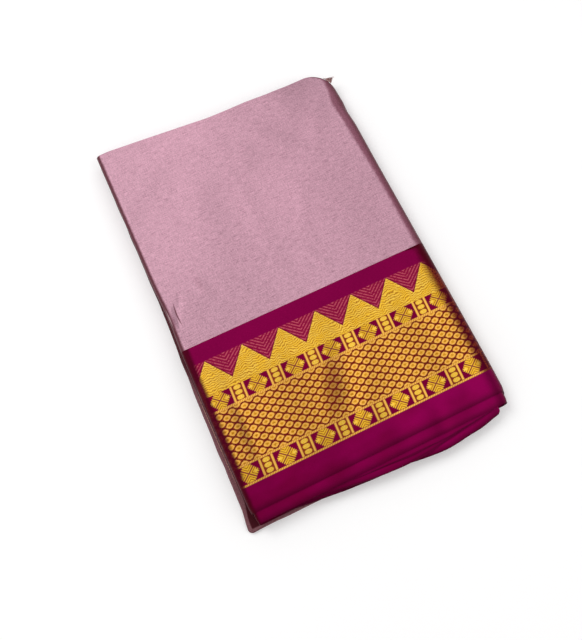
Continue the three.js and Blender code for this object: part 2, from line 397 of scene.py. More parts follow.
def wall_profile(cells, crowd, leaves, near, far):
    """A closed profile through a wall, out along its outer side and back along its inner side.

    Its columns: the share of the way from near to far, the share through the wall, the distance
    back from the near and the far end, and the leaf.
    """
    def spread(t):
        return 0.5 + 0.5 * np.sign(2 * t - 1) * (1 - (1 - np.abs(2 * t - 1)) ** crowd)

    outer = spread(np.linspace(0, 1, 3 * cells + 1))
    inner = spread(np.linspace(1, 0, cells + 1))
    rows = [(place, 0.0, 0.0, 0.0, 0) for place in outer]
    rows += [(1.0, through, 0.0, back, leaf) for through, back, leaf in far]
    rows += [(place, 1.0, 0.0, 0.0, leaves - 1) for place in inner]
    rows += [(0.0, through, back, 0.0, leaf) for through, back, leaf in reversed(near)]
    return tuple(np.array(column, float)[:, None] for column in zip(*rows))


# How far in an edge's unevenness and its rounding back fade out.
EDGE_REACH = 5.0
# The far end's leaves stray as if they came so many later.
FAR_LEAF = 7
CORNER_BACK = 0.22
CORNER_REACH = 0.3
# Towards its selvedge a layer thins and rolls down on the one below, and is painted dark with
# shade.
EDGE_ROLL = 3.4
EDGE_PRESS = 1.0
UNDER_PRESS = 0.3
EDGE_SHADE = 2.6
EDGE_MARK = 0.72
# The worn far corner is painted with shade like the spine beside it: from where, how far in, and
# how much.
CORNER_SHADE_X = (104.0, 122.0)
CORNER_SHADE_RIM = 1.6
CORNER_SHADE_MARK = 7.0


def turned_wall(
    turn, near_line, far_line, *, cells, crowd, rows, leaves, lip, stray_near=None, stray_far=None
):
    """A wall of cloth turned round the pack.

    An end with a stray is an edge that strays by so much, and the other ends are seams.
    """
    part, along_share = rows
    near = lips(leaves, WALL, lip) if stray_near else []
    far = lips(leaves, WALL, lip) if stray_far else []
    share, depth, back_near, back_far, leaf = wall_profile(cells, crowd, leaves, near, far)
    inset = turn["inset"] + depth * WALL
    part, along_share = part[None, :], along_share[None, :]
    middle = blend(near_line(0.0, PACK_TOP), far_line(0.0), share)
    if near:
        pressed = np.exp(-(((middle - near_line(0.0, PACK_TOP)) / EDGE_ROLL) ** 2))
        inset = inset + pressed * blend(EDGE_PRESS, UNDER_PRESS, depth)
    x, z, along, left_in, right_in = turn_section(middle, inset, turn["slit"], part, along_share)
    start, end = near_line(x, z), far_line(x)
    y = blend(start, end, share)
    if near:
        y = y + back_near + np.exp(-(y - start) / EDGE_REACH) * uneven(leaf, along, stray_near)
        y = y + CORNER_BACK * np.exp(-(y - start) / CORNER_REACH)
    if far:
        strays = uneven(leaf + FAR_LEAF, along, stray_far)
        y = y - back_far + np.exp(-(end - y) / EDGE_REACH) * strays
        y = y - CORNER_BACK * np.exp(-(end - y) / CORNER_REACH)
    corner = smoothstep(x, *CORNER_SHADE_X) * np.exp(-((far_line(x) - y) / CORNER_SHADE_RIM) ** 2)
    right_in = blend(right_in + 0 * x, CORNER_SHADE_MARK, corner)
    places = np.stack([x, y, settle(x, y, z)], axis=-1)
    cloth = np.stack([along, y], axis=-1)
    solid = Solid()
    tone = 0.5 + 0.5 * np.sin(leaf * WALL_TONES) + 0 * x
    edge = EDGE_MARK * np.exp(-(((y - start) / EDGE_SHADE) ** 2)) if near else 0 * x
    solid.add_points(places, cloth, tone, left_in + 0 * x, right_in, edge)
    loop, across = x.shape
    for i in range(loop):
        a = i * across
        b = ((i + 1) % loop) * across
        solid.faces += [(a + j, a + j + 1, b + j + 1, b + j) for j in range(across - 1)]
    # The slit's two faces, in cells with three steps outside to one inside, and the lips' ends.
    outer, inner = 3 * cells + 1, cells + 1
    back_first = outer + len(far)
    for column in (0, across - 1):
        caps = []
        for k in range(cells):
            ring = [3 * k, 3 * k + 1, 3 * k + 2, 3 * k + 3]
            ring += [back_first + inner - 2 - k, back_first + inner - 1 - k]
            caps.append(ring)
        if far:
            caps.append(list(range(outer - 1, back_first + 1)))
        if near:
            caps.append(list(range(back_first + inner - 1, loop)) + [0])
        for ring in caps:
            ring = ring[::-1] if column else ring
            solid.faces.append(tuple(p * across + column for p in ring))
    return solid


def selvedge(turn):
    def line(x, z):
        raised = smoothstep(z, TURN_BOTTOM, EDGE_LEVEL)
        return blend(turn["under_edge"], turn["top_edge"], raised) + 0 * x
    return line


def seam(side):
    """side: 1 for the stretch that starts at the seam and -1 for the one that ends there."""
    gap = SEAM_HALF * side
    return lambda x, z=0.0: SEAM_Y + gap + 0 * x


def far_fold(turn):
    return lambda x: far_edge(x) - turn["far_set"]


def outline(corner_steps, side_steps, end_steps):
    """Points round a rounded rectangle whose corners' centres stand at 0 and 1 each way.

    Each is two such centres, the direction out, and the share of the way from one to the other.
    """
    rows = []

    def corner(x, y, start):
        for i in range(corner_steps):
            angle = math.radians(start + 90 * i / corner_steps)
            rows.append((x, y, x, y, math.cos(angle), math.sin(angle), 0.0))

    def side(ax, ay, bx, by, nx, ny, steps):
        rows.extend((ax, ay, bx, by, nx, ny, i / steps) for i in range(steps))

    corner(1, 0, -90)
    side(1, 0, 1, 1, 1, 0, side_steps)
    corner(1, 1, 0)
    side(1, 1, 0, 1, 0, 1, end_steps)
    corner(0, 1, 90)
    side(0, 1, 0, 0, -1, 0, side_steps)
    corner(0, 0, 180)
    side(0, 0, 1, 0, 0, -1, end_steps)
    return np.array(rows)


# The rings on a stack's flat faces, by how far in they lie. All keep a corner of their own, so
# that none crosses itself.
FACE_INSETS = (2.2, 4, 7, 11, 16, 23, 32, 44, 64)
INSET_CORNER = 1.0
FACE_LIP = 0.6
# The leaves' strays run on round the corners, keep mostly inward, and fade out on the flat faces.
STRAY_SLANT = 1.3
STRAY_INWARD = 0.35
FACE_REACH = 6
# A leaf's rounded edge: how far in, at which share of its thickness.
LEAF_EDGE = ((0.10, 0.16), (0.0, 0.5), (0.10, 0.84))
CREVICE_AT = 0.98
STEP_AT = 0.985
STEP_INSET = 5.4
# How much of a crevice closes where two leaves share one fold.
JOINED = 0.85
# Painted shade on a group of leaves: darkest at its edge, and lighter where the step shows.
RIM_SHADES = (1.0, 1.0, 0.6, 0.5)
CREVICE_SHADE = 0.8
STEP_SHADE = 0.1
LIP_SHADE = 0.7
FOLD_SHADE = 2.4


def stacked_leaves(folds, left_side, bottom, top, frame_points, *, leaves, crevice, stray):
    """Many thin leaves lying on each other as one closed mesh, with a crevice between their edges.

    Their left_in mark is how far a point stands out past the turned layers' left side.
    """
    ax, ay, bx, by, nx, ny, t = frame_points.T
    fx, fy = blend(ax, bx, t), blend(ay, by, t)
    thick = (top - bottom) / leaves
    near_left = float(left_side(-HALF_LENGTH))
    far_side, near_side = np.clip(ny, 0, 1), np.clip(-ny, 0, 1)
    solid = Solid()

    def row_of(leaf):
        return int(leaf * len(folds) / leaves)

    def ring(leaf, inset, height, out):
        left_in, right, near, bow, bow_at, far_in = folds[row_of(leaf)]
        left = near_left + left_in
        radius = np.maximum(FOLD_CORNER - inset, INSET_CORNER)
        within = inset + radius
        reach = radius + out
        px = blend(left + within, right - within, fx) + nx * reach
        py = blend(near + within, HALF_LENGTH - within, fy) + ny * reach
        bowed = bow * np.exp(-(((px - bow_at) / BOW_SPREAD) ** 2))
        way = (py - near) / (HALF_LENGTH - near)
        y = blend(near - bowed, far_edge(px) - far_in, way)
        swing = left_side(y) + left_in - left
        x = px + swing * (right - px) / (right - left)
        return x, y, settle(x, y, height)

    def put(leaf, inset, height, out, tone, shade=1.0):
        x, y, z = ring(leaf, inset, height, out)
        edge = near_side * shade * RIM_SHADES[row_of(leaf)]
        places, cloth = np.stack([x, y, z], -1), np.stack([x, y], -1)
        solid.add_points(places, cloth, tone, turn_left(y) - x, edge=edge)

    def place(leaf):
        x, y, _ = ring(leaf, 0.0, 0.0, 0.0)
        return uneven(leaf, x + STRAY_SLANT * y, stray) - STRAY_INWARD * stray

    # Two leaves share one rounded fold at the far side, so every second crevice closes there.
    crevices = (crevice * (1.0 - JOINED * far_side), crevice * np.ones(len(nx)))
    for inset in reversed(FACE_INSETS):
        put(0, inset, bottom, place(0) * math.exp(-inset / FACE_REACH), 0.5, 0.0)
    last = leaves - 1
    for leaf in range(leaves):
        out = place(leaf)
        tone = 0.5 + 0.5 * math.sin(leaf * STACK_TONES)
        low = bottom + leaf * thick
        put(leaf, crevices[1 - leaf % 2] if leaf else FACE_LIP, low, out, tone)
        for inset, at in LEAF_EDGE:
            put(leaf, inset, low + at * thick, out, tone)
        if leaf < last:
            put(leaf, crevices[leaf % 2], low + CREVICE_AT * thick, out, tone, CREVICE_SHADE)
            if row_of(leaf) != row_of(leaf + 1):
                put(leaf, STEP_INSET, low + STEP_AT * thick, out, tone, STEP_SHADE)
    put(last, FACE_LIP, top, place(last), 0.5, LIP_SHADE)
    for inset in FACE_INSETS:
        out = place(last) * math.exp(-inset / FACE_REACH)
        put(last, inset, top, out, 0.5, math.exp(-inset / FOLD_SHADE))

    count = len(nx)
    end = solid.count - count
    pairs = [(i, (i + 1) % count) for i in range(count)]
    for a in range(0, end, count):
        b = a + count
        solid.faces += [(a + i, a + j, b + j, b + i) for i, j in pairs]

    def middle(rim, height):
        x, y, _ = rim.mean(axis=0)
        return solid.add_points((x, y, settle(x, y, height)), (x, y), 0.5, turn_left(y) - x)

    first_ring, last_ring = solid.points[0], solid.points[-1]
    under, over = middle(first_ring, bottom), middle(last_ring, top)
    solid.faces += [(j, i, under) for i, j in pairs]
    solid.faces += [(end + i, end + j, over) for i, j in pairs]
    return solid


def srgb(red, green, blue):
    """A colour as it is seen, from 0 to 255, as linear light."""
    def linear(value):
        share = value / 255
        return share / 12.92 if share <= 0.04045 else ((share + 0.055) / 1.055) ** 2.4
    return (linear(red), linear(green), linear(blue), 1.0)


def arithmetic(operation, turned=False):
    """A method of Num for one of Blender's Math operations."""
    def method(self, *others):
        return compute(self.tree, operation, *((*others, self) if turned else (self, *others)))
    return method


class Num:
    """A node's output, which varies over the surface and adds and multiplies as numbers do."""

    def __init__(self, tree, socket):
        self.tree, self.socket = tree, socket

    def do(self, operation, *others):
        return compute(self.tree, operation, self, *others)

    __add__ = __radd__ = arithmetic("ADD")
    __sub__, __rsub__ = arithmetic("SUBTRACT"), arithmetic("SUBTRACT", turned=True)
    __mul__ = __rmul__ = arithmetic("MULTIPLY")
    __truediv__ = arithmetic("DIVIDE")
    __pow__ = arithmetic("POWER")
    __abs__ = arithmetic("ABSOLUTE")


def compute(tree, operation, *values):
    node = tree.nodes.new("ShaderNodeMath")
    node.operation = operation
    for socket, value in zip(node.inputs, values):
        if isinstance(value, Num):
            tree.links.new(value.socket, socket)
        else:
            socket.default_value = value
    return Num(tree, node.outputs[0])


def least(a, b):
    return a.do("MINIMUM", b)


def most(a, b):
    return a.do("MAXIMUM", b)


def past(x, at, soft=0.25):
    """0 before at and 1 past it, with a soft step between."""
    node = x.tree.nodes.new("ShaderNodeMapRange")
    node.interpolation_type = "SMOOTHSTEP"
    x.tree.links.new(x.socket, node.inputs["Value"])
    node.inputs["From Min"].default_value = at - soft
    node.inputs["From Max"].default_value = at + soft
    return Num(x.tree, node.outputs["Result"])


def before(x, at, soft=0.25):
    return 1.0 - past(x, at, soft)


def between(x, low, high, soft=0.25):
    return past(x, low, soft) * before(x, high, soft)


def away(x, pitch):
    """The distance from the nearest whole multiple of pitch."""
    return x.do("PINGPONG", pitch / 2)


def stepped(x, pitch):
    """The middle of the thread that a place is on."""
    return (x / pitch).do("FLOOR") * pitch + pitch / 2


class Look:
    """One material: its node tree, its cloth coordinates in millimetres and its shader."""

    def __init__(self, name, roughness=0.5, specular=0.3, sheen=0.0):
        self.material = bpy.data.materials.new(name)
        self.material.use_nodes = True
        self.tree = self.material.node_tree
        self.nodes, self.links = self.tree.nodes, self.tree.links
        self.shader = self.nodes["Principled BSDF"]
        self.put("Roughness", roughness)
        self.put("Specular IOR Level", specular)
        self.put("Sheen Weight", sheen)

    def put(self, name, value):
        """Sets one of the shader's own values."""
        self.shader.inputs[name].default_value = value

    def parts(self, vector):
        """The three numbers of a vector."""
        node = self.nodes.new("ShaderNodeSeparateXYZ")
        self.links.new(vector, node.inputs[0])
        return tuple(Num(self.tree, output) for output in node.outputs)

    def facing(self):
        """The x, y and z of the way the surface faces."""
        return self.parts(self.nodes.new("ShaderNodeNewGeometry").outputs["Normal"])

    def cloth(self):
        """Millimetres of cloth round the pack, and from the near to the far side."""
        node = self.nodes.new("ShaderNodeUVMap")
        node.uv_map = "Cloth"
        along, across, _ = self.parts(node.outputs["UV"])
        return along / MM, across / MM

    def mark(self, name):
        """One of MARKS."""
        node = self.nodes.new("ShaderNodeAttribute")
        node.attribute_name = name
        return Num(self.tree, node.outputs["Fac"])

    def painted_slope_light(self, lean_x, lean_y, low, high):
        """Painted light and shade by the way the surface leans, as a factor about 1."""
        x, y, _ = self.facing()
        return most(least(x * lean_x + y * lean_y + 1.0, high), low)

    def rolled(self, flat, upright):
        """0 where the surface lies flat, to 1 where it stands upright, by the normal's z."""
        _, _, upward = self.facing()
        return before(upward, (flat + upright) / 2, (flat - upright) / 2)

    def place(self):
        """x, y and z on the object in millimetres."""
        node = self.nodes.new("ShaderNodeTexCoord")
        return tuple(part / MM for part in self.parts(node.outputs["Object"]))

    def noise(self, x, y, size_x, size_y, seed=0.0, detail=2.0):
        """Smooth noise from 0 to 1 with patches about size_x by size_y millimetres."""
        join = self.nodes.new("ShaderNodeCombineXYZ")
        self.links.new((x / size_x).socket, join.inputs[0])
        self.links.new((y / size_y).socket, join.inputs[1])
        join.inputs[2].default_value = seed
        node = self.nodes.new("ShaderNodeTexNoise")
        node.inputs["Scale"].default_value = 1.0
        node.inputs["Detail"].default_value = detail
        self.links.new(join.outputs[0], node.inputs["Vector"])
        return Num(self.tree, node.outputs["Fac"])

    def mix(self, share, first, second):
        """From the first colour to the second, as share goes from 0 to 1."""
        node = self.nodes.new("ShaderNodeMix")
        node.data_type = "RGBA"
        if isinstance(share, Num):
            self.links.new(share.socket, node.inputs["Factor"])
        else:
            node.inputs["Factor"].default_value = share
        first_colour, second_colour = node.inputs[6], node.inputs[7]
        for socket, colour in ((first_colour, first), (second_colour, second)):
            if isinstance(colour, tuple):
                socket.default_value = colour
            else:
                self.links.new(colour, socket)
        return node.outputs[2]

    def shade(self, colour, brightness):
        """A colour times a number."""
        node = self.nodes.new("ShaderNodeVectorMath")
        node.operation = "SCALE"
        if isinstance(colour, tuple):
            node.inputs[0].default_value = colour[:3]
        else:
            self.links.new(colour, node.inputs[0])
        self.links.new(brightness.socket, node.inputs["Scale"])
        return node.outputs[0]

    def finish(self, colour, height, roughness=None, metal=None, bump=0.35):
        """Joins the colour and the relief, whose height is in millimetres, to the shader."""
        self.links.new(colour, self.shader.inputs["Base Color"])
        if roughness is not None:
            self.links.new(roughness.socket, self.shader.inputs["Roughness"])
        if metal is not None:
            self.links.new(metal.socket, self.shader.inputs["Metallic"])
        node = self.nodes.new("ShaderNodeBump")
        node.inputs["Strength"].default_value = bump
        node.inputs["Distance"].default_value = MM
        self.links.new(height.socket, node.inputs["Height"])
        self.links.new(node.outputs[0], self.shader.inputs["Normal"])
        return self.material


WEAVE_PITCH = 0.5


def plain_weave(x, y):
    """Over and under threads as a height from 0 to 1."""
    turn = 2 * math.pi / WEAVE_PITCH
    across = (x * turn).do("SINE")
    along = (y * turn).do("SINE")
    return across * along * 0.5 + 0.5


LILAC = srgb(205, 156, 174)
LILAC_DARK = srgb(150, 98, 120)
LILAC_SHOT_SHADE = srgb(128, 74, 92)
LILAC_SHOT_DEEP_SHADE = srgb(88, 32, 44)
WRINKLE_HIGHLIGHT = srgb(212, 178, 182)
MAGENTA = srgb(118, 0, 58)
MAGENTA_LIGHT = srgb(132, 4, 68)
SELVEDGE = srgb(110, 0, 50)
SELVEDGE_LIGHT = srgb(138, 0, 76)
MAGENTA_SHADED = srgb(62, 2, 4)
SELVEDGE_SHADED = srgb(48, 0, 10)
GOLD_SHADED = srgb(146, 66, 16)
MAROON = srgb(110, 0, 38)
CHEVRON = srgb(198, 92, 104)
CHEVRON_GROUND = srgb(132, 12, 52)
GOLD = srgb(238, 186, 40)
GOLD_LIGHT = srgb(255, 220, 100)
GOLD_DEEP = srgb(158, 98, 0)
ORANGE_GOLD = srgb(222, 154, 30)
PINK_GOLD = srgb(244, 186, 88)
OLIVE_GOLD = srgb(160, 104, 0)
BRONZE = srgb(156, 72, 10)
BROWN = srgb(94, 18, 0)


def share_of(x):
    """A number kept from 0 to 1."""
    return most(least(x, 1.0), 0.0)


def oval(x, y, at_x, at_y, half_x, half_y):
    """0 in the middle of an oval patch and 1 at its rim."""
    return ((x - at_x) / half_x) ** 2.0 + ((y - at_y) / half_y) ** 2.0


# The pinched pleat at the left edge and the dimple by it, painted as shade with a highlight on the
# pleat's wrinkle: x, y, half sizes.
PLEAT = {"x": -114.6, "y": 15.0, "length": 11.0, "half": 0.62}
WRINKLE_X = -122.8
PLEAT_SHADE = (-120.4, 12.0, 2.4, 9.5)
DIMPLE = (-83.0, 35.0, 4.5, 10.0)


def field_silk():
    """Lilac silk, shot with maroon; where the cloth turns away it is painted darker, partly the
    shot maroon and partly painted shade.
    """
    look = Look("field_silk", roughness=0.52, specular=0.2, sheen=0.12)
    look.put("Sheen Roughness", 0.4)
    x, y = look.cloth()
    left_in, right_in = look.mark("left_in"), look.mark("right_in")
    weave = plain_weave(x, y)
    speckle = look.noise(x, y, 1.3, 1.1, 7, 3)
    threads = look.noise(x, y, 9, 0.8, 3)
    cross = look.noise(x, y, 0.9, 6, 5)
    slubs = past(look.noise(x, y, 5, 0.85, 9), 0.63, 0.05)
    cloudy = look.noise(x, y, 22, 30, 11)
    wide = look.noise(x, y, 80, 90, 12)
    lines = past(look.noise(x, y, 9, 0.7, 21, 3), 0.6, 0.05)
    dark = slubs * 0.3 + lines * 0.4 + (speckle - 0.5) * 0.5 + 0.02
    colour = look.mix(share_of(dark), LILAC, LILAC_DARK)
    # Painted shade, with the shot maroon, where the cloth turns away at the right, at the far
    # corner and at the left.
    ragged = (look.noise(x, y, 3, 5, 15) - 0.5) * 2.4
    wider = past(y, 110, 40) * 1.4 - before(y, 80, 50) * 1.9 - past(y, 170, 16) * 3.4
    turned = past(right_in + ragged + wider, -3, 2.2)
    far_turn_shade = past(right_in + ragged * 1.4, 2.6, 3.6) * (1 - past(right_in, 12, 3) * 0.6)
    left_turn_shade = past(left_in + ragged * 0.5, 1, 1.6) * (1 - past(left_in, 10.5, 2.5) * 0.5)
    light = (speckle - 0.5) * 0.95 + (threads - 0.5) * 0.65 + (cross - 0.5) * 0.6
    light = light + (cloudy - 0.5) * 0.1 + (wide - 0.5) * 0.16 + (weave - 0.5) * 0.06 + 1
    # Painted shade: darker towards the near side, the far right corner and the near left.
    painted_dimming = before(y, 30, 90) * 0.08 + past(x + y * 0.4, 100, 110) * 0.1
    painted_dimming = painted_dimming + before(x + y * 0.5, -60, 50) * before(y, 60, 60) * 0.05
    colour = look.shade(colour, (light - painted_dimming) * look.painted_slope_light(-1.8, 0.7, 0.8, 1.15))
    mottled = (speckle - 0.5) * 1.6 + 1
    colour = look.mix(turned * 0.94, colour, look.shade(LILAC_SHOT_SHADE, mottled))
    folded = most(far_turn_shade * 0.86, left_turn_shade * 0.97)
    colour = look.mix(folded, colour, look.shade(LILAC_SHOT_DEEP_SHADE, mottled))
    # The pleat is painted as a dark curved line of shade with a painted highlight on the wrinkle
    # beside it, and shade beside it and in the dimple.
    bend = (y - PLEAT["y"]) / PLEAT["length"]
    off_line = x - PLEAT["x"] + bend * 1.6 - (bend + 1) ** 2 * 0.9 + 0.9
    pleat = before(abs(off_line) + bend * bend * 0.5, PLEAT["half"], 0.45)
    wrinkle = before(abs(x - WRINKLE_X) + abs(bend) * 0.8, 0.7, 0.5)
    beside = before(oval(x, y, *PLEAT_SHADE), 0.8, 0.6)
    dimple = before(oval(x, y, *DIMPLE), 0.5, 0.5)
    colour = look.mix(most(beside * 0.35, dimple * 0.2), colour, LILAC_SHOT_SHADE)
    colour = look.mix(pleat * 0.9, colour, LILAC_SHOT_DEEP_SHADE)
    colour = look.mix(wrinkle * 0.6, colour, WRINKLE_HIGHLIGHT)
    height = weave * 0.05 + speckle * 0.05 + slubs * 0.06 + threads * 0.05 + cross * 0.03
    return look.finish(colour, height, roughness=(speckle - 0.5) * 0.2 + 0.5)


# The woven border in millimetres: s runs along it in repeats, and v from the temples' tips to the
# selvedge. THREAD_V and THREAD_S are the steps that slanting edges are woven in.
REPEAT = 38.4
CHEVRON_V, TIP_V, VALLEY_V, GOLD_TOP = -2.6, -2, 22.5, 30.5
BAND_HALF = 7.6
BAND_MIDDLES = (38.1, 109.8)
BAND_PARTING = 74
LINES = ((45.7, 48), (100.2, 102), (117.8, 119.5))
LATTICE_V = (48.2, 100)
LATTICE = {"across": 12.8, "along": 7.4}
SELVEDGE_V = 119.7
THREAD_V, THREAD_S = 0.6, 0.55
PATTERN_X0 = 108.7
PATTERN_Y0 = -40.2
PATTERN_SKEW = 0.045
# The deep shade in the crease across the lattice: its middle, its half sizes and its direction.
CREASE_SHADE = {"x": -12, "y": -112, "across": 11, "along": 36}
CREASE_COS, CREASE_SIN = 0.92, 0.39


def border_silk():
    """Magenta silk with a woven gold border: temples, rosettes and ladders, and a lattice."""
    look = Look("border_silk", roughness=0.5, specular=0.3)
    look.put("Specular Tint", (1, 0.03, 0.4, 1))
    x, y = look.cloth()
    left_in, right_in = look.mark("left_in"), look.mark("right_in")
    v = PATTERN_Y0 - y
    s = x + PATTERN_X0 + (v - TIP_V) * PATTERN_SKEW
    vq, sq = stepped(v, THREAD_V), stepped(s, THREAD_S)
    a = away(sq, REPEAT)
    b = REPEAT / 2 - a
    fleck = look.noise(s, v, 1.3, 0.8, 17, 3)
    patch = look.noise(s, v, 9, 7, 13)

    # Temples, with the nested chevrons in the ground between them.
    inside = vq - (a * ((VALLEY_V - TIP_V) / (REPEAT / 2)) + TIP_V)
    above = before(vq, GOLD_TOP)
    temple = past(inside, 0) * above
    temple_rim = between(inside, 0, 1.6) * above
    temple_shadow = between(inside, -1.8, 0) * past(v, TIP_V)
    dash = look.noise(s, v, 2.6, 1.1, 2)
    chevron = past(away((vq + b * 0.8) / 3.5, 1), 0.32, 0.1) * past(dash, 0.44, 0.1)
    chevron_area = before(inside, -1, 0.5) * between(v, CHEVRON_V, VALLEY_V)

    # Two bands of rosettes and ladders.
    upper, lower = BAND_MIDDLES
    dy = abs(v - (past(v, BAND_PARTING) * (lower - upper) + upper))
    in_band = before(dy, BAND_HALF)
    a_fine = away(s, REPEAT)
    offset = dy - a_fine * 0.8
    groove = before(away(offset + (fleck - 0.5) * 0.7, 2.5), 0.4, 0.32)
    cross_mark = before(abs(offset), 0.85, 0.4)
    rosette_way = a_fine / 10.4 + dy / 11.4 + groove * 0.16 + (fleck - 0.5) * 0.16
    rosette = before(rosette_way, 1.02, 0.05)
    eye = before((a_fine - 7.4) ** 2 / 2.6 + dy * dy / 1.3, 1, 0.3)
    hub = before(a_fine * a_fine + dy * dy, 1.6, 0.8)
    bars = between(b, 5, 7, 0.4)
    bead_way = (b / 3.5) ** 2.4 + (away(dy, 5) / 2.1) ** 2.4
    beads = before(bead_way + (fleck - 0.5) * 0.8, 1, 0.3)
    bead_gap = before(b, 4.8)
    band_gold = in_band * least(rosette * (1 - cross_mark * 0.75) + bars + beads * 0.9, 1)

    # The lattice of small rounded lozenges.
    in_lattice = between(v, *LATTICE_V)
    half_across, half_along = LATTICE["across"] / 2, LATTICE["along"] / 2
    a1 = away(sq, LATTICE["across"])
    b1 = away(vq - LATTICE_V[0], LATTICE["along"])
    a2, b2 = half_across - a1, half_along - b1

    def lozenge(p, q):
        return (p / 3.6) ** 1.6 + (q / 2.6) ** 1.6

    cell = least(lozenge(a1, b1), lozenge(a2, b2)) + (fleck - 0.5) * 0.9
    bead = before(cell, 1, 0.2)
    diagonal = abs(a1 / half_across + b1 / half_along - 1) * 3.2
    mesh_line = before(diagonal + (fleck - 0.5) * 0.8, 0.7, 0.4)

    line = between(v, *LINES[0]) + between(v, *LINES[1]) + between(v, *LINES[2])
    gold = least(temple + band_gold + line + in_lattice * bead, 1)

    # The silk ground.
    weave = plain_weave(x, y)
    fine = look.noise(x, y, 2.6, 0.5, 4)
    cloudy = look.noise(x, y, 30, 36, 6)
    ground = look.mix(share_of((fine - 0.45) * 1.8), MAGENTA, MAGENTA_LIGHT)
    # Painted shade and sheen: the selvedge darker at the left and lighter to the right, in broad
    # patches.
    sheen = past(x, 0, 90) * 0.6 + (look.noise(x, y, 34, 22, 31) - 0.5) * 1.6
    selvedge_silk = look.mix(share_of(sheen + 0.1), SELVEDGE, SELVEDGE_LIGHT)
    ground = look.mix(past(v, SELVEDGE_V), ground, selvedge_silk)
    ground = look.mix(between(v, CHEVRON_V, SELVEDGE_V) * 0.8, ground, MAROON)
    ground = look.mix(chevron_area, ground, CHEVRON_GROUND)
    ground = look.mix(chevron_area * chevron * 0.85, ground, CHEVRON)
    ground = look.mix(temple_shadow * 0.75, ground, MAROON)
    ground = look.mix(in_band * bead_gap * 0.8, ground, look.mix(0.5, BRONZE, BROWN))
    ground = look.mix(in_lattice, ground, look.mix(mesh_line, BRONZE, BROWN))

    # The gold thread, laid in fine waving lines.
    sway = look.noise(s, v, 7.5, 16, 8, 1) * 11 + look.noise(s, v, 2.6, 2.6, 28) * 1.6
    thread = before(away(v + sway, 2.2), 0.42, 0.4)
    worn = share_of(thread * above * 1 + (patch - 0.5) * 0.7 + (fleck - 0.5) * 1.5 + 0.06)
    lattice_gilt = look.mix(worn * 0.6, ORANGE_GOLD, GOLD_DEEP)
    gilt = look.mix(in_lattice, look.mix(worn, GOLD, GOLD_DEEP), lattice_gilt)
    # Painted highlights: glints on flecks and between the threads' lines, and lighter gold at the
    # rosettes' eyes and hubs, the beads and the temples' rims.
    glints_and_pale_gold = above * (1 - thread) * past(patch, 0.5, 0.2) * 0.35 + temple_rim * 0.15
    glints_and_pale_gold = glints_and_pale_gold + in_band * (eye * 0.4 + hub * 0.4 + beads * past(fleck, 0.46, 0.1) * 0.4)
    glints_and_pale_gold = glints_and_pale_gold + past(fleck, 0.56, 0.06) * 0.4
    gilt = look.mix(share_of(glints_and_pale_gold), gilt, GOLD_LIGHT)
    ring = in_lattice * between(cell, 0.36, 1, 0.16) * 0.8
    gilt = look.mix(share_of(ring + line * 0.75 + in_band * bars * 0.7), gilt, PINK_GOLD)
    core = in_lattice * before(cell, 0.2, 0.22) * past(patch + fleck, 0.86, 0.25)
    gilt = look.mix(core * 0.9, gilt, OLIVE_GOLD)
    carved = in_band * rosette * groove * (1 - eye) * 0.9
    gilt = look.mix(share_of(carved), gilt, look.mix(0.4, BRONZE, BROWN))
    gilt = look.mix(line * past(away(s + v, 2.6), 0.75, 0.3) * 0.6, gilt, BRONZE)
    ground_light = (cloudy - 0.5) * 0.3 + 1 + (fine - 0.5) * 0.3
    ground = look.shade(ground, ground_light * look.painted_slope_light(2.2, 0.9, 0.62, 1.3))
    # Painted light: the gold brighter towards the right.
    righter = past(x, 20, 70) * 0.13 + 0.97 + above * past(x, -60, 40) * 0.05
    gilt = look.shade(gilt, ((cloudy - 0.5) * 0.3 + righter) * look.painted_slope_light(3.3, 1.2, 0.5, 1.2))
    colour = look.mix(gold, ground, gilt)
    off_x, off_y = x - CREASE_SHADE["x"], y - CREASE_SHADE["y"]
    across = off_x * CREASE_COS - off_y * CREASE_SIN
    along = off_x * CREASE_SIN + off_y * CREASE_COS
    way_off = (across / CREASE_SHADE["across"]) ** 2 + (along / CREASE_SHADE["along"]) ** 2
    creased = before(way_off, 0.5, 0.5) * past(v, 26, 6) * before(v, SELVEDGE_V)
    colour = look.mix(creased * 0.36, colour, BROWN)

    # Painted shade: the silk goes dark where it rolls over at the sides, where it tilts off the
    # flat and along the layers' near edges, with its gold dimmed and gleaming there.
    ragged = (look.noise(x, y, 3, 4, 15) - 0.5) * 3
    narrower = past(v, 114, 8) * 3.2
    left_turn_shade = past(left_in + ragged * 0.7 - narrower, -2.9, 2.4)
    left_turn_shade = left_turn_shade * (1 - past(left_in, 11.5, 3) * 0.45)
    right_turn_shade = past(right_in + ragged, -4.4, 5.2) * (1 - past(right_in, 8.6, 1.6) * 0.3)
    right_turn_shade = right_turn_shade * (1 - past(v, SELVEDGE_V) * 0.35)
    turned = most(left_turn_shade, right_turn_shade)
    rolled = look.rolled(0.98, 0.35)
    gleam = gold * past(fleck, 0.52, 0.12) * (past(x, 0, 10) * 0.55 + 0.15)
    on_selvedge = past(v, SELVEDGE_V) * past(right_in, -12, 1)
    folded = look.mix(on_selvedge, MAGENTA_SHADED, SELVEDGE_SHADED)
    colour = look.mix(most(look.mark("edge") * 0.86, rolled * 0.55), colour, SELVEDGE_SHADED)
    colour = look.mix(turned, colour, look.mix(gleam, folded, GOLD_SHADED))
    height = weave * 0.05 + gold * 0.12 + gold * (fleck * 0.12 - thread * 0.06) + fine * 0.05
    roughness = (fleck - 0.5) * 0.3 + 0.52 - gold * 0.12
    return look.finish(colour, height, roughness=roughness, metal=gold * (1 - turned) * 0.35)


UNDER_SHADED = srgb(134, 92, 98)
UNDER_DARK = srgb(92, 50, 56)
UNDER_DEEP = srgb(58, 0, 12)
UNDER_PALE = srgb(192, 148, 132)
FRAY_DARK = srgb(112, 64, 66)
FRAY_PALE = srgb(186, 142, 138)
PAPER = srgb(254, 254, 254)
PAPER_DULL = srgb(247, 247, 248)
PAPER_GLOW = 0.07


